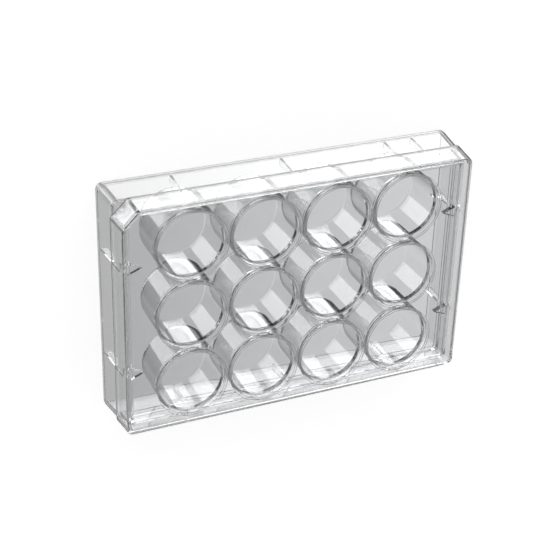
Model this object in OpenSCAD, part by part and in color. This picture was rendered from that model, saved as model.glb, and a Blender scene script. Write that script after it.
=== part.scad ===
// Twelve-well culture plate with its loose lid.
//
// The plate lies as it is used: its footprint stands on z = 0, the wells open
// upwards and row A is on the +Y side. The origin is the centre of the
// footprint. The overall length and width follow from the grid of wells and
// from the margins round it.

/* [Wells] */
// Number of columns of wells along the length
columns = 4; // [2:1:6]
// Number of rows of wells across the width
rows = 3; // [2:1:4]
// Distance between the centres of neighbouring wells
well_pitch = 26.01; // [25.6:0.01:29]
// Radius of a well at its rim
well_r_top = 11.37; // [9:0.01:11.4]
// Radius of a well just above its floor
well_r_floor = 11.05; // [8.6:0.01:11.3]
// Depth from the rim down to the floor
well_depth = 16.4; // [12:0.1:17]
// Thickness of a well's wall
well_wall = 1.05; // [0.8:0.01:1.2]
// Thickness of a well's floor
well_floor = 1.2; // [0.8:0.1:1.8]
// Radius of the fillet between wall and floor
well_fillet = 1.2; // [0.5:0.1:2.5]
// Radius of the rounded edges of the rim
rim_edge_r = 0.3; // [0.1:0.05:0.4]

/* [Footprint] */
// From the end of the footprint to the centres of the first column
margin_x = 24.865; // [22:0.005:30]
// From the side of the footprint to the centres of the first row
margin_y = 16.73; // [16.5:0.01:22]
// Corner radius of the skirt
skirt_corner_r = 2.4; // [1.6:0.1:4]
// Thickness of the skirt
skirt_wall = 1.3; // [1:0.05:1.8]
// Height of the upright foot at the bottom of the skirt
foot_h = 1.6; // [1:0.1:3]
// How far each side of the skirt leans in on its way up to the ledge
skirt_lean = 1.0; // [0:0.05:1.2]

/* [Heights] */
// Height of the rims of the wells
plate_h = 20.27; // [19:0.01:23]
// Height of the ledge that carries the lid
ledge_h = 12.5; // [9:0.1:13.5]
// Thickness of the ledge
ledge_t = 1.2; // [0.8:0.1:1.8]
// How far the top face of the deck between the wells stays below the rims
deck_drop = 0.97; // [0.9:0.01:4.5]
// Thickness of the deck
deck_t = 1.2; // [0.8:0.1:1.8]
// How far the upper wall stays below the rims
wall_drop = 0.4; // [0:0.1:1]

/* [Upper wall] */
// From the side of the footprint in to the foot of the upper wall
wall_inset = 2.6; // [2.4:0.05:3]
// Thickness of the upper wall
wall_t = 1.2; // [0.9:0.05:1.5]
// How far the upper wall leans in over its height
wall_lean = 0.7; // [0:0.05:0.8]
// Corner radius of the upper wall
wall_corner_r = 1.8; // [1:0.1:3]

/* [Lid] */
// Height of the lid's top face above the rims of the wells
lid_top_h = 2.73; // [2.4:0.01:5.7]
// Thickness of the lid's top
lid_t = 1.2; // [0.8:0.1:1.6]
// Thickness of the lid's skirt
lid_wall = 1.2; // [0.8:0.05:1.3]
// From the side of the footprint in to the bottom edge of the lid
lid_inset = 0.6; // [0.4:0.05:0.8]
// How far the lid's skirt leans in over its height
lid_lean = 0.85; // [0.3:0.05:1]
// Corner radius of the lid
lid_corner_r = 2; // [1.2:0.1:3]
// Bevel round the lid's top face
lid_bevel = 0.5; // [0.2:0.05:0.8]
// Length of each leg of the cut corner beside well A1
corner_cut = 6; // [4:0.1:9]
// Outer radius of the ring under the lid over each well
ring_r = 12.75; // [11.8:0.05:12.78]
// Thickness of the rings
ring_t = 0.8; // [0.5:0.05:1.2]
// Height of the rings
ring_h = 0.4; // [0.2:0.1:1]

/* [Ribs] */
// Thickness of the ribs inside the skirt
rib_t = 0.9; // [0.6:0.05:1.4]
// How far the ribs stop above the bottom of the skirt
rib_foot_gap = 2; // [1:0.1:4]
// From the side of the footprint to the ribs on the short sides
side_rib_margin = 22.94; // [18:0.01:26]
// From the end of the footprint to the single rib near the corner of row A
corner_rib_margin = 14.4; // [10:0.1:18]
// How far the gussets under the deck reach in from the short sides
gusset_l = 4.4; // [2:0.1:6]
// Width of the gussets along the upper wall
gusset_w = 4; // [2:0.1:6]
// Height of the gussets below the deck
gusset_h = 2; // [1:0.1:3.5]
// Width of the ties that join the outer wells to the long sides of the upper wall
tie_w = 8; // [6:0.5:12]
// How far the ties stay below the top of the upper wall
tie_drop = 0.2; // [0.1:0.05:0.4]
// Gap between the lid's guide ribs and the foot of the upper wall
guide_gap = 0.2; // [0.1:0.05:0.35]
// Height of the guide ribs above the lid's bottom edge
guide_rib_h = 6; // [3:0.5:7]

/* [Hidden] */

// Overall footprint, from the grid and its margins
foot_l = (columns - 1) * well_pitch + 2 * margin_x;
foot_w = (rows - 1) * well_pitch + 2 * margin_y;
first_x = -(columns - 1) * well_pitch / 2;
first_y = (rows - 1) * well_pitch / 2;
column_x = [for (c = [0 : columns - 1]) first_x + c * well_pitch];
row_y = [for (r = [0 : rows - 1]) first_y - r * well_pitch];

// Heights that follow from the others
floor_h = plate_h - well_depth;
deck_h = plate_h - deck_drop;
deck_under_h = deck_h - deck_t;
wall_top_h = plate_h - wall_drop;
wall_rise = wall_top_h - ledge_h;
lid_skirt_h = plate_h + lid_top_h - ledge_h;
lid_under_h = plate_h + lid_top_h - lid_t;
// From the side of the footprint in to the middle of the upper wall at its top
wall_core = wall_inset + wall_lean + wall_t / 2;

// Outer radii of a well's wall
well_ro_top = well_r_top + well_wall;
well_ro_floor = well_r_floor + well_wall;

// Ribs on the long sides: over the first, the middle and the last columns
long_rib_x = [column_x[0], 0, column_x[columns - 1]];
side_rib_y = foot_w / 2 - side_rib_margin;

// Overlap that welds one feature of a moulding to the next
weld = 0.2;
plastic = [0.86, 0.89, 0.91, 0.45];
lid_plastic = [0.90, 0.92, 0.94, 0.35];

// Leg of the cut corner on an outline that lies `inset` inside the lid's
function cut_at(inset) = corner_cut - (2 - sqrt(2)) * inset;

// Rounded rectangle, `inset` inside the footprint, with its (-X, +Y) corner
// cut off where `cut` is above 0
module outline(inset, r, cut = 0) {
    l = foot_l - 2 * inset;
    w = foot_w - 2 * inset;
    intersection() {
        union() {
            square([l - 2 * r, w], center = true);
            square([l, w - 2 * r], center = true);
            for (sx = [-1, 1], sy = [-1, 1])
                translate([sx * (l / 2 - r), sy * (w / 2 - r)]) circle(r = r, $fn = 32);
        }
        if (cut > 0)
            polygon([[-l / 2, -w / 2], [l / 2, -w / 2], [l / 2, w / 2],
                     [-l / 2 + cut, w / 2], [-l / 2, w / 2 - cut]]);
        else
            square([l, w], center = true);
    }
}

// Solid block on `outline` whose sides lean in by `lean` over its height, and
// which starts `start` inside the outline
module leaning_block(inset, r, h, lean, cut = 0, start = 0) {
    l = foot_l - 2 * inset;
    w = foot_w - 2 * inset;
    low_l = l - 2 * start;
    low_w = w - 2 * start;
    linear_extrude(height = h, scale = [(low_l - 2 * lean) / low_l, (low_w - 2 * lean) / low_w])
        scale([low_l / l, low_w / w]) outline(inset, r, cut);
}

// Puts a copy of its children at the centre of every well
module each_well() {
    for (x = column_x, y = row_y)
        translate([x, y, 0]) children();
}

// Outside form of the skirt: an upright foot and sides that lean in above it
module skirt_form(inset = 0) {
    r = skirt_corner_r - inset / 2;
    linear_extrude(height = foot_h) outline(inset, r);
    translate([0, 0, foot_h]) leaning_block(inset, r, ledge_h - foot_h, skirt_lean);
}

// Skirt with the ledge that closes it at the top
module skirt() {
    difference() {
        skirt_form();
        intersection() {
            translate([0, 0, -weld]) linear_extrude(height = weld + ledge_h - ledge_t)
                outline(skirt_wall, skirt_corner_r / 2);
            union() {
                translate([0, 0, -weld]) linear_extrude(height = foot_h + weld)
                    outline(skirt_wall, skirt_corner_r / 2);
                skirt_form(skirt_wall);
            }
        }
        translate([0, 0, ledge_h - 2 * ledge_t])
            linear_extrude(height = 4 * ledge_t)
                outline(wall_inset + wall_t / 2, wall_corner_r, cut_at(wall_inset + wall_t / 2 - lid_inset));
    }
}

// Wall that rises from the ledge to just below the rims
module upper_wall() {
    base_h = ledge_h - ledge_t;
    difference() {
        translate([0, 0, base_h])
            leaning_block(wall_inset, wall_corner_r, wall_top_h - base_h, wall_lean,
                          cut_at(wall_inset - lid_inset));
        translate([0, 0, base_h - weld])
            leaning_block(wall_inset + wall_t, wall_corner_r / 2, wall_top_h - base_h + 2 * weld,
                          wall_lean, cut_at(wall_inset + wall_t - lid_inset));
    }
}

// Deck between the wells, with a hole where each well passes through
module deck() {
    inset = wall_inset + wall_t / 2 + wall_lean * (deck_h - ledge_h) / wall_rise;
    translate([0, 0, deck_under_h]) linear_extrude(height = deck_t)
        difference() {
            outline(inset, wall_corner_r / 2, cut_at(inset - lid_inset));
            each_well() circle(r = well_r_top + well_wall / 2, $fn = 96);
        }
}

// Ties that fill the narrow space between the outer wells and the long sides
module side_ties() {
    length = foot_w / 2 - wall_core - first_y;
    translate([0, 0, deck_under_h]) linear_extrude(height = wall_top_h - tie_drop - deck_under_h)
        difference() {
            for (x = column_x, sy = [-1, 1])
                translate([x, sy * (first_y + length / 2)]) square([tie_w, length], center = true);
            each_well() circle(r = well_r_top + well_wall / 2, $fn = 96);
        }
}

// Half section of a well: wall, rounded rim, floor and the fillet inside
module well_section() {
    e = rim_edge_r;
    under_h = floor_h - well_floor;
    polygon([[well_r_floor, floor_h], [well_r_top, plate_h - e],
             [well_ro_top, plate_h - e], [well_ro_floor, floor_h]]);
    translate([well_r_top + e, plate_h - e]) circle(r = e, $fn = 24);
    translate([well_ro_top - e, plate_h - e]) circle(r = e, $fn = 24);
    translate([well_r_top + e, plate_h - 2 * e]) square([well_wall - 2 * e, 2 * e]);
    // Floor, with a rounded edge underneath
    translate([0, under_h]) square([well_ro_floor - well_floor, well_floor]);
    intersection() {
        translate([well_ro_floor - well_floor, floor_h]) circle(r = well_floor, $fn = 32);
        translate([0, under_h]) square([well_ro_floor, well_floor]);
    }
    // Fillet between the floor and the wall
    translate([well_r_floor - well_fillet, floor_h]) difference() {
        square(well_fillet);
        translate([0, well_fillet]) circle(r = well_fillet, $fn = 32);
    }
}

module wells() {
    each_well() rotate_extrude($fn = 96) well_section();
}

// Ribs inside the skirt, from its face in to the line of the upper wall
module skirt_ribs() {
    reach = wall_inset + wall_t;
    rib_h = ledge_h - rib_foot_gap - ledge_t / 2;
    intersection() {
        skirt_form(skirt_wall / 2);
        translate([0, 0, rib_foot_gap]) union() {
            for (sx = [-1, 1], sy = [-1, 1])
                translate([sx * (foot_l / 2 - reach / 2), sy * side_rib_y, rib_h / 2])
                    cube([reach, rib_t, rib_h], center = true);
            for (sy = [-1, 1], x = long_rib_x)
                translate([x, sy * (foot_w / 2 - reach / 2), rib_h / 2])
                    cube([rib_t, reach, rib_h], center = true);
            translate([foot_l / 2 - corner_rib_margin, foot_w / 2 - reach / 2, rib_h / 2])
                cube([rib_t, reach, rib_h], center = true);
        }
    }
}

// Gussets, triangular in plan, that brace the short sides of the upper wall
// under the deck
module gussets() {
    for (sx = [0, 1], sy = [-1, 1])
        mirror([sx, 0, 0])
            translate([-foot_l / 2 + wall_core, sy * side_rib_y, deck_under_h - gusset_h])
                linear_extrude(height = gusset_h + weld)
                    polygon([[0, -gusset_w / 2], [wall_t / 2 + gusset_l, 0], [0, gusset_w / 2]]);
}

module plate() {
    color(plastic) union() {
        skirt();
        upper_wall();
        deck();
        side_ties();
        wells();
        skirt_ribs();
        gussets();
    }
}

// Outside form of the lid, `t` inside its faces: leaning sides and a bevelled top
module lid_form(t) {
    side_h = lid_skirt_h - lid_bevel;
    r = lid_corner_r - t / 2;
    translate([0, 0, ledge_h]) {
        leaning_block(lid_inset + t, r, side_h, lid_lean, cut_at(t));
        if (t == 0)
            translate([0, 0, side_h])
                leaning_block(lid_inset, r, lid_bevel, lid_bevel, cut_at(t), lid_lean);
    }
}

// Ring under the lid over each well
module lid_rings() {
    each_well() translate([0, 0, lid_under_h - ring_h]) difference() {
        cylinder(r = ring_r, h = ring_h + weld, $fn = 96);
        translate([0, 0, -weld]) cylinder(r = ring_r - ring_t, h = ring_h + 3 * weld, $fn = 96);
    }
}

// Short ribs inside the lid's skirt that keep it centred on the upper wall
module guide_ribs() {
    reach = wall_inset - guide_gap;
    intersection() {
        lid_form(lid_wall / 2);
        for (sx = [-1, 1], sy = [-1, 1])
            translate([sx * (foot_l / 2 - reach / 2), sy * side_rib_y, ledge_h + guide_rib_h / 2])
                cube([reach, rib_t, guide_rib_h], center = true);
    }
}

module lid() {
    color(lid_plastic) union() {
        difference() {
            lid_form(0);
            intersection() {
                union() {
                    lid_form(lid_wall);
                    translate([0, 0, ledge_h - weld]) linear_extrude(height = 2 * weld)
                        outline(lid_inset + lid_wall, lid_corner_r - lid_wall / 2, cut_at(lid_wall));
                }
                translate([0, 0, lid_under_h - lid_skirt_h]) linear_extrude(height = lid_skirt_h)
                    outline(lid_inset, lid_corner_r);
            }
        }
        lid_rings();
        guide_ribs();
    }
}

plate();
lid();
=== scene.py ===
"""Looks of a twelve-well culture plate with its loose lid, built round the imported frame.

The plate and the lid are remade as fine closed meshes with rounded edges, so that the clear
plastic bends and mirrors light as a moulding does. Sizes are in millimetres and become metres
when a mesh is made.
"""

import logging
import math
from dataclasses import dataclass
from enum import Enum

import bmesh
import bpy
from mathutils import Euler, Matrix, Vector


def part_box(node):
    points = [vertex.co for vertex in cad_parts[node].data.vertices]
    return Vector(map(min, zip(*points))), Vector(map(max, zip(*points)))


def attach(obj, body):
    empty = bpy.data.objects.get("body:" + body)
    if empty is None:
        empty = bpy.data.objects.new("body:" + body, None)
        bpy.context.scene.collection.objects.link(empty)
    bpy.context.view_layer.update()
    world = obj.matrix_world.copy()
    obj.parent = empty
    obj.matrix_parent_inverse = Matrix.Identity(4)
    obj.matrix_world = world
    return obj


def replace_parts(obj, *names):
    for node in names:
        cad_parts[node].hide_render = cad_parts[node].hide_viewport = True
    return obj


MM = 0.001
CORE_R = 1.0  # radius of the flat cap in the middle of a turned form
LOG = logging.getLogger("well_plate")

Pair = tuple[float, float]
Triple = tuple[float, float, float]
Ramp = tuple[float, float, float, float]  # where it starts and ends, and its value there
Web = tuple[list[Vector], Vector]  # the outline on one face, and the step to the other face

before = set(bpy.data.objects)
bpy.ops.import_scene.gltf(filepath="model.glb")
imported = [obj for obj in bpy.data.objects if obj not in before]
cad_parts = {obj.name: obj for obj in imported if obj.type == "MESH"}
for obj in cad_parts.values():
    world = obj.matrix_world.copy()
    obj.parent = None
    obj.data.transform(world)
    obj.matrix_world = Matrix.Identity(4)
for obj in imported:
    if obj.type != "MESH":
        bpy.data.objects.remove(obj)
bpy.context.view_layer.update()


# ---------------------------------------------------------------- shader graph


class Value:
    """A shader socket that takes part in Python sums and products through Math nodes."""

    def __init__(self, graph: "Graph", socket: bpy.types.NodeSocket) -> None:
        """Keeps the graph that new nodes go into, and the socket."""
        self.graph = graph
        self.socket = socket

    def _math(self, operation: str, other: object) -> "Value":
        """Adds one Math node.

        Args:
            operation: the node's operation.
            other: the number or value that this value is taken with.

        Returns:
            The node's result.
        """
        return self.graph.node("ShaderNodeMath", {"operation": operation}, {0: self, 1: other})

    def __add__(self, other: object) -> "Value":
        """Sum."""
        return self._math("ADD", other)

    __radd__ = __add__

    def __mul__(self, other: object) -> "Value":
        """Product."""
        return self._math("MULTIPLY", other)

    __rmul__ = __mul__

    def smallest(self, other: object) -> "Value":
        """The smaller of this value and another."""
        return self._math("MINIMUM", other)

    def largest(self, other: object) -> "Value":
        """The larger of this value and another."""
        return self._math("MAXIMUM", other)

    def ramp(self, low: float, high: float, to_low: float = 0.0, to_high: float = 1.0) -> "Value":
        """This value taken smoothly from one range to another, and held at its ends.

        Args:
            low: where the first range starts.
            high: where it ends.
            to_low: what the start becomes.
            to_high: what the end becomes.

        Returns:
            The new value.
        """
        settings = {"interpolation_type": "SMOOTHSTEP"}
        inputs = {0: self, 1: low, 2: high, 3: to_low, 4: to_high}
        return self.graph.node("ShaderNodeMapRange", settings, inputs)


class Graph:
    """Builds one node tree from Python expressions."""

    def __init__(self, owner: bpy.types.Material | bpy.types.World) -> None:
        """Empties a node tree, to build in it.

        Args:
            owner: the material or world whose tree it is.
        """
        owner.use_nodes = True
        self.tree = owner.node_tree
        self.tree.nodes.clear()

    def node(
        self, kind: str, settings: dict | None = None, inputs: dict | None = None, out: object = 0
    ) -> Value:
        """Adds a node.

        Args:
            kind: the node's type.
            settings: its own properties, which are set first.
            inputs: numbers, colours or values for its sockets, by name or number.
            out: the name or number of the output to return.

        Returns:
            The chosen output.
        """
        made = self.tree.nodes.new(kind)
        for name, setting in (settings or {}).items():
            setattr(made, name, setting)
        for name, given in (inputs or {}).items():
            if isinstance(given, Value):
                self.tree.links.new(given.socket, made.inputs[name])
            else:
                made.inputs[name].default_value = given
        return Value(self, made.outputs[out] if len(made.outputs) else None)

    def ray(self, kind: str) -> Value:
        """1 for rays of one kind, such as Camera, Glossy or Transmission."""
        return self.node("ShaderNodeLightPath", out=f"Is {kind} Ray")

    def into_clear(self) -> Value:
        """1 for rays that a mirror or a clear piece sends on."""
        return self.ray("Glossy").largest(self.ray("Transmission"))

    def noise(self, size: float, detail: float, roughness: float = 0.5) -> Value:
        """Noise over the piece's own coordinates.

        Args:
            size: how wide its features are.
            detail: how many finer layers it has.
            roughness: how strong the finer layers are.

        Returns:
            The noise, mostly between 0.3 and 0.7.
        """
        place = self.node("ShaderNodeTexCoord", out="Object")
        inputs = {"Vector": place, "Scale": 1 / (size * MM), "Detail": detail, "Roughness": roughness}
        return self.node("ShaderNodeTexNoise", {}, inputs)


# -------------------------------------------------------------------- finishes


@dataclass(frozen=True)
class ClearPlastic:
    """Clear moulded polystyrene: polished, faintly wavy, and slightly dull in small specks."""

    name: str
    tint: Triple = (0.97, 0.975, 0.98)
    ior: float = 1.59
    wave_depth: float = 0.02
    wave_size: float = 9.0
    wave_detail: float = 1.0
    speck_size: float = 0.7
    speck_detail: float = 3.0
    speck_range: Pair = (0.62, 0.80)
    speck_roughness: float = 0.02

    def build(self) -> bpy.types.Material:
        """Makes the material.

        Returns:
            A Blender material.
        """
        material = bpy.data.materials.new(self.name)
        graph = Graph(material)
        waves = graph.noise(self.wave_size, self.wave_detail)
        bump_inputs = {"Strength": 1.0, "Distance": self.wave_depth * MM, "Height": waves}
        specks = graph.noise(self.speck_size, self.speck_detail, 0.6).ramp(*self.speck_range)
        look = {
            "Base Color": (*self.tint, 1.0),
            "Roughness": specks * self.speck_roughness,
            "IOR": self.ior,
            "Transmission Weight": 1.0,
            "Normal": graph.node("ShaderNodeBump", {}, bump_inputs, out="Normal"),
        }
        shader = graph.node("ShaderNodeBsdfPrincipled", {}, look)
        graph.node("ShaderNodeOutputMaterial", {}, {"Surface": shader})
        return material


@dataclass(frozen=True)
class StudioPaper:
    """White paper that takes the object's shadow. Mirrors and clear pieces show the studio's
    surroundings through it, as on a table that is lit from below."""

    name: str = "studio_paper"
    shade: float = 0.86
    grain: float = 0.01
    grain_size: float = 1.5
    grain_detail: float = 4.0
    grain_range: Pair = (0.2, 0.8)
    lift: float = 0.81

    def build(self) -> bpy.types.Material:
        """Makes the material.

        Returns:
            A Blender material.
        """
        material = bpy.data.materials.new(self.name)
        graph = Graph(material)
        tones = (self.shade - self.grain, self.shade + self.grain)
        tone = graph.noise(self.grain_size, self.grain_detail).ramp(*self.grain_range, *tones)
        colour = graph.node("ShaderNodeCombineColor", {}, {0: tone, 1: tone, 2: tone})
        look = {"Base Color": colour, "Roughness": 1.0, "Specular IOR Level": 0.0}
        paper = graph.node("ShaderNodeBsdfPrincipled", {}, look)
        glow = graph.node("ShaderNodeEmission", {}, {"Strength": self.lift})
        lifted = graph.node("ShaderNodeAddShader", {}, {0: paper, 1: glow})
        seen = graph.node("ShaderNodeMixShader", {}, {0: graph.ray("Camera"), 1: paper, 2: lifted})
        open_way = graph.node("ShaderNodeBsdfTransparent")
        sheet = graph.node("ShaderNodeMixShader", {}, {0: graph.into_clear(), 1: seen, 2: open_way})
        graph.node("ShaderNodeOutputMaterial", {}, {"Surface": sheet})
        return material


# -------------------------------------------------------------- shapes in plan


@dataclass(frozen=True)
class Corner:
    """One corner of a section: how far in from the side it lies, or how far from the axis of
    a turned form, its height, the radius that rounds it, the corner radius of the outline
    through it, and whether that outline has the cut corner."""

    inset: float
    z: float
    fillet: float = 0.0
    plan_r: float = 0.0
    cut: bool = False


@dataclass(frozen=True)
class Footprint:
    """The rounded rectangle that skirt, wall and lid follow, each by its own inset. The cut
    at the (-X, +Y) corner has its leg where the outline lies cut_from in from the side."""

    half_l: float
    half_w: float
    cut_leg: float = 6.0
    cut_from: float = 0.6
    steps: int = 14

    def _arc(self, centre: Pair, r: float, start: float, end: float, steps: int) -> list[Pair]:
        """Points along an arc.

        Args:
            centre: its centre.
            r: its radius.
            start: the first angle in degrees.
            end: the last angle in degrees.
            steps: the number of stretches.

        Returns:
            The points, ends included.
        """
        angles = [math.radians(start + (end - start) * i / steps) for i in range(steps + 1)]
        return [(centre[0] + r * math.cos(a), centre[1] + r * math.sin(a)) for a in angles]

    def loop(self, inset: float, r: float, cut: bool, z: float) -> list[Vector]:
        """One outline, always with the same number of points.

        Args:
            inset: distance in from the footprint.
            r: corner radius.
            cut: whether the (-X, +Y) corner is cut off.
            z: height.

        Returns:
            The points, counter-clockwise.
        """
        a, b = self.half_l - inset, self.half_w - inset
        flat = []
        for side_x, side_y, start in ((1, 1, 0), (-1, 1, 90), (-1, -1, 180), (1, -1, 270)):
            if cut and start == 90:
                leg = self.cut_leg - (2 - math.sqrt(2)) * (inset - self.cut_from)
                side = leg + r * math.tan(math.radians(22.5))
                half = self.steps // 2
                flat += self._arc((-a + side, b - r), r, 90, 135, half)
                flat += self._arc((-a + r, b - side), r, 135, 180, half)
            else:
                centre = (side_x * (a - r), side_y * (b - r))
                flat += self._arc(centre, r, start, start + 90, self.steps + 1)
        return [Vector((x, y, z)) for x, y in flat]


def rounded(path: list[Corner], closed: bool, steps: int = 5) -> list[tuple[float, float, Corner]]:
    """Rounds the corners of a section.

    Args:
        path: its corners in order.
        closed: whether the last one joins the first.
        steps: stretches in each rounding.

    Returns:
        (inset, z, corner) for each point of the rounded section.
    """
    points = []
    for i, corner in enumerate(path):
        at = Vector((corner.inset, corner.z))
        if corner.fillet <= 0 or (not closed and i in (0, len(path) - 1)):
            points.append((at.x, at.y, corner))
            continue
        before, after = path[i - 1], path[(i + 1) % len(path)]
        to_before = (Vector((before.inset, before.z)) - at).normalized()
        to_after = (Vector((after.inset, after.z)) - at).normalized()
        half = to_before.angle(to_after) / 2
        centre = at + (to_before + to_after).normalized() * corner.fillet / math.sin(half)
        reach = corner.fillet / math.tan(half)
        first = (at + to_before * reach - centre).normalized()
        last = (at + to_after * reach - centre).normalized()
        for step in range(steps + 1):
            spoke = first.slerp(last, step / steps).normalized() * corner.fillet
            points.append((centre.x + spoke.x, centre.y + spoke.y, corner))
    return points


# ---------------------------------------------------------------- mesh helpers


def placed(name: str, data: bpy.types.ID) -> bpy.types.Object:
    """Adds an object to the scene.

    Args:
        name: the object's name.
        data: its mesh, lamp or camera.

    Returns:
        The new object.
    """
    made = bpy.data.objects.new(name, data)
    bpy.context.scene.collection.objects.link(made)
    return made


def meshed(name: str, mesh: bmesh.types.BMesh) -> bpy.types.Object:
    """Makes an object of a finished bmesh, which is used up.

    Args:
        name: the object's name.
        mesh: the bmesh.

    Returns:
        The new object.
    """
    data = bpy.data.meshes.new(name)
    mesh.to_mesh(data)
    mesh.free()
    return placed(name, data)


class Loft:
    """Collects loops of points and joins them into a closed mesh."""

    def __init__(self) -> None:
        """Starts an empty mesh."""
        self.mesh = bmesh.new()

    def ring(self, points: list[Vector]) -> list[bmesh.types.BMVert]:
        """Adds one loop of points and returns its vertices."""
        return [self.mesh.verts.new(p * MM) for p in points]

    def skin(self, loops: list[list[bmesh.types.BMVert]], closed: bool) -> None:
        """Joins each loop to the next.

        Args:
            loops: loops of equal length.
            closed: whether the last loop joins the first, or both ends get a cap.
        """
        pairs = list(zip(loops, loops[1:]))
        if closed:
            pairs.append((loops[-1], loops[0]))
        else:
            self.mesh.faces.new(loops[0])
            self.mesh.faces.new(loops[-1])
        for low, high in pairs:
            for i, at in enumerate(low):
                j = (i + 1) % len(low)
                self.mesh.faces.new((at, low[j], high[j], high[i]))

    def finish(self, name: str) -> bpy.types.Object:
        """Turns the faces outwards and makes the object."""
        bmesh.ops.recalc_face_normals(self.mesh, faces=self.mesh.faces)
        return meshed(name, self.mesh)


def swept(name: str, plan: Footprint, path: list[Corner], closed: bool) -> bpy.types.Object:
    """A section carried round the footprint.

    Args:
        name: the object's name.
        plan: the footprint.
        path: the section.
        closed: whether the section is closed, or its two ends get flat caps.

    Returns:
        The new object.
    """
    loft = Loft()
    loops = [loft.ring(plan.loop(inset, c.plan_r, c.cut, z)) for inset, z, c in rounded(path, closed)]
    loft.skin(loops, closed)
    return loft.finish(name)


def turned(
    name: str, path: list[Corner], places: list[Pair], closed: bool, sides: int = 96
) -> bpy.types.Object:
    """A section turned round a vertical axis at each of several places.

    Args:
        name: the object's name.
        path: the section, whose insets are radii.
        places: the axes.
        closed: whether the section is a closed ring, or its two ends get flat caps.
        sides: stretches round the axis.

    Returns:
        The new object.
    """
    loft = Loft()
    section = rounded(path, closed)
    spokes = [(math.cos(math.tau * i / sides), math.sin(math.tau * i / sides)) for i in range(sides)]
    for x, y in places:
        loops = [loft.ring([Vector((x + r * c, y + r * s, z)) for c, s in spokes]) for r, z, _ in section]
        loft.skin(loops, closed)
    return loft.finish(name)


def webbed(name: str, webs: list[Web], edge_r: float) -> bpy.types.Object:
    """Flat webs such as ribs and gussets, with rounded edges.

    Args:
        name: the object's name.
        webs: the webs.
        edge_r: radius of the edges.

    Returns:
        The new object.
    """
    mesh = bmesh.new()
    for outline, step in webs:
        near = [mesh.verts.new(p * MM) for p in outline]
        far = [mesh.verts.new((p + step) * MM) for p in outline]
        mesh.faces.new(near)
        mesh.faces.new(far)
        for i in range(len(near)):
            j = (i + 1) % len(near)
            mesh.faces.new((near[i], near[j], far[j], far[i]))
    bmesh.ops.recalc_face_normals(mesh, faces=mesh.faces)
    bmesh.ops.bevel(mesh, geom=list(mesh.edges), offset=edge_r * MM, segments=3, affect="EDGES", profile=0.5)
    return meshed(name, mesh)


class Joining(Enum):
    """How one closed mesh changes another."""

    ADD = "UNION"
    CUT = "DIFFERENCE"


def moulded(
    name: str, base: bpy.types.Object, changes: list[tuple[Joining, bpy.types.Object]]
) -> bpy.types.Object:
    """One moulding made of closed meshes, which are used up.

    Args:
        name: the new object's name.
        base: the mesh to start from.
        changes: what is added or cut, in order.

    Returns:
        The new object, smooth apart from its sharp edges.
    """
    for joining, other in changes:
        change = base.modifiers.new(joining.name, "BOOLEAN")
        change.operation = joining.value
        change.object = other
        change.solver = "MANIFOLD"
    graph = bpy.context.evaluated_depsgraph_get()
    data = bpy.data.meshes.new_from_object(base.evaluated_get(graph), depsgraph=graph)
    data.name = name
    data.materials.clear()
    for used in (base, *(other for _, other in changes)):
        bpy.data.objects.remove(used)
    made = placed(name, data)
    smooth(made)
    return made


def smooth(piece: bpy.types.Object, sharp_deg: float = 32.0, flat_weight: int = 80) -> None:
    """Shades a piece smooth between its sharp edges, with flat faces kept flat.

    Args:
        piece: the object.
        sharp_deg: the angle from which an edge is sharp.
        flat_weight: how much more large faces count than small ones, where 50 is evenly.
    """
    mesh = bmesh.new()
    mesh.from_mesh(piece.data)
    bmesh.ops.dissolve_degenerate(mesh, dist=1e-7, edges=mesh.edges)
    limit = math.radians(sharp_deg)
    for edge in mesh.edges:
        edge.smooth = edge.is_manifold and edge.calc_face_angle(0.0) < limit
    for face in mesh.faces:
        face.smooth = True
    mesh.to_mesh(piece.data)
    mesh.free()
    weigh = piece.modifiers.new("flat_faces", "WEIGHTED_NORMAL")
    weigh.keep_sharp = True
    weigh.weight = flat_weight


# ------------------------------------------------------------------- the plate


@dataclass
class WellGrid:
    """Where the wells stand."""

    columns: int = 4
    rows: int = 3
    pitch: float = 26.01

    def columns_x(self) -> list[float]:
        """The x of every column of wells."""
        return [(c - (self.columns - 1) / 2) * self.pitch for c in range(self.columns)]

    def rows_y(self) -> list[float]:
        """The y of every row of wells, from row A."""
        return [((self.rows - 1) / 2 - r) * self.pitch for r in range(self.rows)]

    def centres(self) -> list[Pair]:
        """The axis of every well, row by row."""
        return [(x, y) for y in self.rows_y() for x in self.columns_x()]


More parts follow.
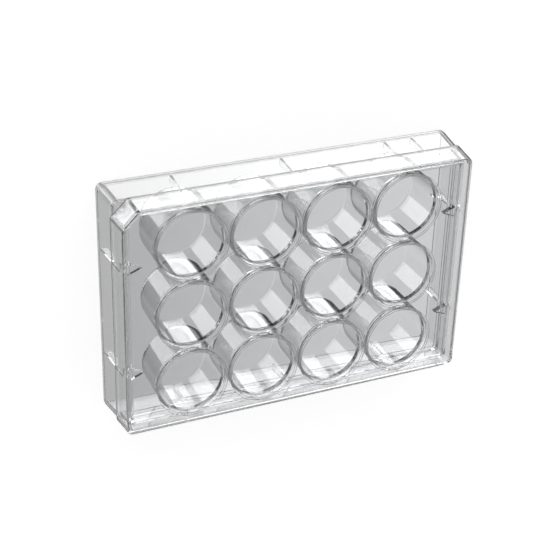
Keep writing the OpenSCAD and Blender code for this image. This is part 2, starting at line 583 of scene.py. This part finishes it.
@dataclass
class Plate:
    """The moulded plate: skirt, ledge, upper wall, deck, wells, ribs, gussets and ties."""

    plan: Footprint
    grid: WellGrid
    rim_h: float
    ledge_h: float = 12.5
    ledge_t: float = 1.2
    foot_h: float = 1.6
    foot_round: float = 0.6
    skirt_t: float = 1.3
    skirt_lean: float = 1.0
    skirt_r: float = 2.4
    wall_in: float = 2.6
    wall_t: float = 1.2
    wall_lean: float = 0.7
    wall_drop: float = 0.4
    wall_r: float = 1.8
    ledge_round: float = 0.15
    under_round: float = 0.25
    deck_drop: float = 0.97
    deck_t: float = 1.2
    well_r: float = 11.37
    well_floor_r: float = 11.05
    well_depth: float = 16.4
    well_t: float = 1.05
    floor_t: float = 1.2
    floor_fillet: float = 0.4
    cup_round: float = 1.176
    rim_edge: float = 0.5
    bore_flare: float = 0.6
    bore_over: float = 2.0
    edge: float = 0.3
    rib_t: float = 0.9
    rib_gap: float = 2.0
    rib_bite: float = 0.1
    side_rib_margin: float = 22.94
    corner_rib_margin: float = 14.4
    gusset_l: float = 4.4
    gusset_w: float = 4.0
    gusset_h: float = 2.0
    tie_w: float = 8.0
    tie_drop: float = 0.2
    web_edge: float = 0.12

    @property
    def wall_top(self) -> float:
        """Height of the upper wall's top."""
        return self.rim_h - self.wall_drop

    @property
    def wall_core(self) -> float:
        """How far in the middle of the upper wall lies, at its top."""
        return self.wall_in + self.wall_lean + self.wall_t / 2

    @property
    def deck_h(self) -> float:
        """Height of the deck's top."""
        return self.rim_h - self.deck_drop

    @property
    def deck_under(self) -> float:
        """Height of the deck's underside."""
        return self.deck_h - self.deck_t

    @property
    def floor_z(self) -> float:
        """Height of the wells' floors."""
        return self.rim_h - self.well_depth

    @property
    def side_rib_y(self) -> float:
        """How far from the middle the ribs of the short sides stand."""
        return self.plan.half_w - self.side_rib_margin

    def shell(self) -> bpy.types.Object:
        """The skirt, the ledge and the upper wall, which share one section round the plate.

        Returns:
            A closed mesh.
        """
        under = self.ledge_h - self.ledge_t
        lean = self.wall_lean * self.ledge_t / (self.wall_top - under)
        inner_r = self.skirt_r - self.skirt_t / 2
        wall_inner_r = self.wall_r / 2
        inside = self.skirt_t + self.skirt_lean * (under - self.foot_h) / (self.ledge_h - self.foot_h)
        foot = self.wall_in + self.wall_t
        section = [
            Corner(0, 0, self.edge, self.skirt_r),
            Corner(0, self.foot_h, self.foot_round, self.skirt_r),
            Corner(self.skirt_lean, self.ledge_h, self.edge, self.skirt_r),
            Corner(self.wall_in + lean, self.ledge_h, self.ledge_round, self.wall_r, True),
            Corner(self.wall_in + self.wall_lean, self.wall_top, self.edge, self.wall_r, True),
            Corner(foot + self.wall_lean, self.wall_top, self.edge, wall_inner_r, True),
            Corner(foot, under, self.edge, wall_inner_r, True),
            Corner(inside, under, self.under_round, inner_r),
            Corner(self.skirt_t, self.foot_h, self.foot_round, inner_r),
            Corner(self.skirt_t, 0, self.edge, inner_r),
        ]
        return swept("shell", self.plan, section, True)

    def deck(self) -> bpy.types.Object:
        """The deck between the wells, which reaches into the upper wall.

        Returns:
            A closed mesh.
        """
        rise = (self.deck_h - self.ledge_h) / (self.wall_top - self.ledge_h)
        inset = self.wall_in + self.wall_t / 2 + self.wall_lean * rise
        heights = (self.deck_under, self.deck_h)
        section = [Corner(inset, z, plan_r=self.wall_r / 2, cut=True) for z in heights]
        return swept("deck", self.plan, section, False)

    def cups(self) -> bpy.types.Object:
        """The outside forms of the wells.

        Returns:
            A mesh of one closed form for each well.
        """
        under = self.floor_z - self.floor_t
        section = [
            Corner(CORE_R, under),
            Corner(self.well_floor_r + self.well_t, under, self.cup_round),
            Corner(self.well_r + self.well_t, self.rim_h, self.rim_edge),
            Corner(CORE_R, self.rim_h),
        ]
        return turned("cups", section, self.grid.centres(), False)

    def bores(self) -> bpy.types.Object:
        """The hollows of the wells, rounded out at the rim.

        Returns:
            A mesh of one closed form for each well, to cut with.
        """
        flare_r, over = self.well_r + self.bore_flare, self.rim_h + self.bore_over
        section = [
            Corner(CORE_R, self.floor_z),
            Corner(self.well_floor_r, self.floor_z, self.floor_fillet),
            Corner(self.well_r, self.rim_h, self.rim_edge),
            Corner(flare_r, self.rim_h),
            Corner(flare_r, over),
            Corner(CORE_R, over),
        ]
        return turned("bores", section, self.grid.centres(), False)

    def ribs(self) -> list[Web]:
        """The ribs inside the skirt, which stand between it and the foot of the upper wall.

        Returns:
            The webs of all four sides.
        """
        mid = self.skirt_t / 2
        top = self.ledge_h - self.ledge_t / 2
        foot = self.wall_in + self.wall_t
        profile = (
            (mid + self.rib_bite, self.rib_gap),
            (mid + self.skirt_lean - self.rib_bite, top),
            (foot, top),
            (foot, self.rib_gap),
        )
        half_l, half_w, half_t = self.plan.half_l, self.plan.half_w, self.rib_t / 2
        first, last = self.grid.columns_x()[0], self.grid.columns_x()[-1]
        webs = []
        for side in (-1, 1):
            for y in (-self.side_rib_y, self.side_rib_y):
                outline = [Vector((side * (half_l - inset), y - half_t, z)) for inset, z in profile]
                webs.append((outline, Vector((0, self.rib_t, 0))))
            corner_rib = (half_l - self.corner_rib_margin,) if side > 0 else ()
            for x in (first, 0.0, last, *corner_rib):
                outline = [Vector((x - half_t, side * (half_w - inset), z)) for inset, z in profile]
                webs.append((outline, Vector((self.rib_t, 0, 0))))
        return webs

    def gussets(self) -> list[Web]:
        """The gussets under the deck, which taper from the short walls towards the wells.

        Returns:
            The webs of both short sides.
        """
        wide, tip = self.gusset_w / 2, self.wall_core + self.wall_t / 2 + self.gusset_l
        plan = ((self.wall_core, -wide), (tip, 0.0), (self.wall_core, wide))
        low = self.deck_under - self.gusset_h
        rise = Vector((0, 0, self.gusset_h + self.deck_t / 2))
        webs = []
        for side in (-1, 1):
            for y in (-self.side_rib_y, self.side_rib_y):
                outline = [Vector((side * (self.plan.half_l - inset), y + w, low)) for inset, w in plan]
                webs.append((outline, rise))
        return webs

    def ties(self) -> list[Web]:
        """The ties that join the long walls to the outer wells over the deck.

        Returns:
            The webs of both long sides.
        """
        low, top = self.deck_under + self.deck_t / 4, self.wall_top - self.tie_drop
        wall_y = self.plan.half_w - self.wall_core
        well_y = self.grid.rows_y()[0] + self.well_floor_r
        webs = []
        for side in (-1, 1):
            for column in self.grid.columns_x():
                x = column - self.tie_w / 2
                profile = ((wall_y, low), (wall_y, top), (well_y, top), (well_y, low))
                outline = [Vector((x, side * y, z)) for y, z in profile]
                webs.append((outline, Vector((self.tie_w, 0, 0))))
        return webs

    def build(self, finish: bpy.types.Material) -> bpy.types.Object:
        """Makes the plate.

        Args:
            finish: its material.

        Returns:
            The piece, in place of the CAD plate.
        """
        changes = [
            (Joining.ADD, self.deck()),
            (Joining.ADD, webbed("webs", self.ribs() + self.gussets() + self.ties(), self.web_edge)),
            (Joining.ADD, self.cups()),
            (Joining.CUT, self.bores()),
        ]
        piece = moulded("clear_plate", self.shell(), changes)
        piece.data.materials.append(finish)
        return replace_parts(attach(piece, "root"), "plate")


@dataclass
class Lid:
    """The loose lid: leaning skirt, bevelled top, rings over the wells and guide ribs."""

    plate: Plate
    top_h: float
    seat_gap: float = 0.04
    top_t: float = 1.2
    wall_t: float = 1.2
    inset: float = 0.6
    lean: float = 0.85
    inner_lean: float = 0.765
    corner_r: float = 2.0
    bevel: float = 0.5
    bevel_round: float = 0.2
    under_round: float = 0.3
    edge: float = 0.25
    ring_r: float = 12.75
    ring_t: float = 0.8
    ring_h: float = 0.4
    ring_round: float = 0.15
    ring_bite: float = 0.3
    guide_h: float = 6.0
    guide_t: float = 0.9
    guide_gap: float = 0.2
    guide_lift: float = 0.1
    web_edge: float = 0.1

    @property
    def under(self) -> float:
        """Height of the underside of the top."""
        return self.top_h - self.top_t

    @property
    def foot(self) -> float:
        """Height of the skirt's lower edge."""
        return self.plate.ledge_h + self.seat_gap

    def tray(self) -> bpy.types.Object:
        """The top and the skirt, from the middle of the top out and down, and back inside.

        Returns:
            A closed mesh.
        """
        plan, ledge_h = self.plate.plan, self.plate.ledge_h
        side = self.lean * (self.top_h - self.bevel - ledge_h) / (self.top_h - ledge_h)
        inner_top = self.inset + self.wall_t + self.inner_lean
        inner_r = self.corner_r - self.wall_t / 2
        far = plan.half_w / 2
        bevel_in = self.inset + self.lean + self.bevel
        section = [
            Corner(far, self.top_h, plan_r=self.corner_r),
            Corner(bevel_in, self.top_h, self.bevel_round, self.corner_r, True),
            Corner(self.inset + side, self.top_h - self.bevel, self.bevel_round, self.corner_r, True),
            Corner(self.inset, self.foot, self.edge, self.corner_r, True),
            Corner(self.inset + self.wall_t, self.foot, self.edge, inner_r, True),
            Corner(inner_top, self.under, self.under_round, inner_r, True),
            Corner(far, self.under, plan_r=self.corner_r),
        ]
        return swept("tray", plan, section, False)

    def rings(self) -> bpy.types.Object:
        """The rings under the top, one over each well.

        Returns:
            A mesh of one closed ring for each well.
        """
        inner = self.ring_r - self.ring_t
        low, high = self.under - self.ring_h, self.under + self.ring_bite
        section = [
            Corner(inner, high),
            Corner(inner, low, self.ring_round),
            Corner(self.ring_r, low, self.ring_round),
            Corner(self.ring_r, high),
        ]
        return turned("rings", section, self.plate.grid.centres(), True)

    def guides(self) -> bpy.types.Object:
        """The guide ribs inside the short sides, in line with the ribs of the plate.

        Returns:
            A mesh of four closed ribs.
        """
        low = self.foot + self.guide_lift
        high = low + self.guide_h
        mid = self.inset + self.wall_t / 2
        clear_of_wall = self.plate.wall_in - self.guide_gap
        profile = ((mid, low), (mid + self.lean / 2, high), (clear_of_wall, high), (clear_of_wall, low))
        half_l, half_t = self.plate.plan.half_l, self.guide_t / 2
        webs = []
        for side in (-1, 1):
            for y in (-self.plate.side_rib_y, self.plate.side_rib_y):
                outline = [Vector((side * (half_l - inset), y - half_t, z)) for inset, z in profile]
                webs.append((outline, Vector((0, self.guide_t, 0))))
        return webbed("guides", webs, self.web_edge)

    def build(self, finish: bpy.types.Material) -> bpy.types.Object:
        """Makes the lid.

        Args:
            finish: its material.

        Returns:
            The piece, in place of the CAD lid.
        """
        changes = [(Joining.ADD, self.rings()), (Joining.ADD, self.guides())]
        piece = moulded("clear_lid", self.tray(), changes)
        piece.data.materials.append(finish)
        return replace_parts(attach(piece, "root"), "lid")


# ------------------------------------------------------------------ the studio


@dataclass(frozen=True)
class Softbox:
    """A square studio lamp, given by its middle and its sides in metres, by how bright its
    face is and by the point that it faces."""

    name: str
    place: Triple
    size: Pair
    shine: float
    target: Triple = (0.0, 0.0, 0.0)

    def build(self) -> None:
        """Makes the lamp and turns it to its target."""
        lamp = bpy.data.lights.new(self.name, "AREA")
        lamp.shape = "RECTANGLE"
        lamp.size, lamp.size_y = self.size
        lamp.energy = self.shine * math.pi * self.size[0] * self.size[1]
        made = placed(self.name, lamp)
        made.location = self.place
        aim = Vector(self.target) - Vector(self.place)
        made.rotation_euler = aim.to_track_quat("-Z", "Y").to_euler()


@dataclass(frozen=True)
class Surroundings:
    """What the world shows in each direction: a table behind the plate that is brighter
    towards +X, pale walls, a grey ceiling and pale ground far below. The camera sees a white
    backdrop instead. It is dark only round the two lamps behind the plate.

    The table's ramps go along +X, +Y and +Z of the direction and are multiplied; the others
    go along +Z."""

    table_across: Ramp = (0.05, 0.60, 0.33, 0.80)
    table_edge: Ramp = (-0.42, -0.28, 1.0, 0.0)
    table_top: Ramp = (-0.05, 0.05, 1.0, 0.0)
    wall_foot: Ramp = (-0.54, -0.46, 0.0, 0.48)
    wall_head: Ramp = (0.35, 0.60, 0.48, 0.10)
    ground: Ramp = (-0.96, -0.93, 0.66, 0.0)
    room: float = 0.04
    backdrop: float = 1.0

    def build(self) -> None:
        """Makes the world."""
        world = bpy.data.worlds.new("surroundings")
        bpy.context.scene.world = world
        graph = Graph(world)
        way = graph.node("ShaderNodeTexCoord", out="Generated")
        axes = [graph.node("ShaderNodeSeparateXYZ", {}, {0: way}, out=axis) for axis in "XYZ"]
        across, along, height = axes
        table = across.ramp(*self.table_across) * along.ramp(*self.table_edge) * height.ramp(*self.table_top)
        walls = height.ramp(*self.wall_foot).smallest(height.ramp(*self.wall_head))
        behind = table.largest(height.ramp(*self.ground)) * graph.into_clear()
        tone = (behind.largest(walls) + self.room).largest(graph.ray("Camera") * self.backdrop)
        sky = graph.node("ShaderNodeBackground", {}, {"Color": (1, 1, 1, 1), "Strength": tone})
        graph.node("ShaderNodeOutputWorld", {}, {"Surface": sky})


@dataclass(frozen=True)
class Studio:
    """Floor, lamps, surroundings and camera. Two lamps stand below the floor, which lets only
    mirrored and clear ways through, so they shine in the plastic and nowhere else."""

    eye_mm: Triple = (-177.57, 234.21, 391.27)
    turn_deg: Triple = (-29.8787, -23.7684, 1.7588)
    lens_mm: float = 89.73
    sensor_mm: float = 36.0
    clip_m: Pair = (0.01, 50.0)
    floor_gap: float = 0.15
    floor_side_m: float = 6.0
    bounces: int = 48
    mirror_bounces: int = 24
    lamps: tuple[Softbox, ...] = (
        Softbox("key_softbox", (-0.1, 1.0, 0.75), (1.2, 0.7), 0.4),
        Softbox("rear_right_softbox", (0.46, 0.50, -1.0), (0.92, 0.70), 2.5, (0.46, 0.50, 0.0)),
        Softbox("rear_left_softbox", (-0.66, 0.49, -1.0), (0.60, 0.70), 2.4, (-0.66, 0.49, 0.0)),
    )

    def floor(self) -> bpy.types.Object:
        """The paper under the plate.

        Returns:
            The floor.
        """
        mesh = bmesh.new()
        bmesh.ops.create_grid(mesh, x_segments=1, y_segments=1, size=self.floor_side_m / 2)
        made = meshed("floor", mesh)
        made.location.z = -self.floor_gap * MM
        made.data.materials.append(StudioPaper().build())
        return made

    def camera(self) -> bpy.types.Object:
        """The camera.

        Returns:
            The camera's object.
        """
        lens = bpy.data.cameras.new("camera")
        lens.lens = self.lens_mm
        lens.sensor_width = self.sensor_mm
        lens.clip_start, lens.clip_end = self.clip_m
        made = placed("camera", lens)
        made.location = Vector(self.eye_mm) * MM
        made.rotation_euler = Euler([math.radians(a) for a in self.turn_deg])
        bpy.context.scene.camera = made
        return made

    def build(self) -> None:
        """Sets the whole studio up."""
        self.camera()
        self.floor()
        Surroundings().build()
        for lamp in self.lamps:
            lamp.build()
        scene = bpy.context.scene
        scene.view_settings.view_transform = "Standard"
        scene.cycles.max_bounces = self.bounces
        scene.cycles.transmission_bounces = self.bounces
        scene.cycles.glossy_bounces = self.mirror_bounces


# ------------------------------------------------------------------------ main


def main() -> None:
    """Builds the plate, its lid and the studio."""
    logging.basicConfig(level=logging.INFO, format="%(name)s: %(message)s")
    low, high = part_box("plate")
    plan = Footprint((high.x - low.x) / 2 / MM, (high.y - low.y) / 2 / MM)
    plate = Plate(plan, WellGrid(), rim_h=high.z / MM)
    lid = Lid(plate, top_h=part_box("lid")[1].z / MM)
    finishes = (ClearPlastic("plate_polystyrene"), ClearPlastic("lid_polystyrene"))
    for part, finish in zip((plate, lid), finishes):
        piece = part.build(finish.build())
        LOG.info("%s: %d faces", piece.name, len(piece.data.polygons))
    Studio().build()


if __name__ == "__main__":
    main()
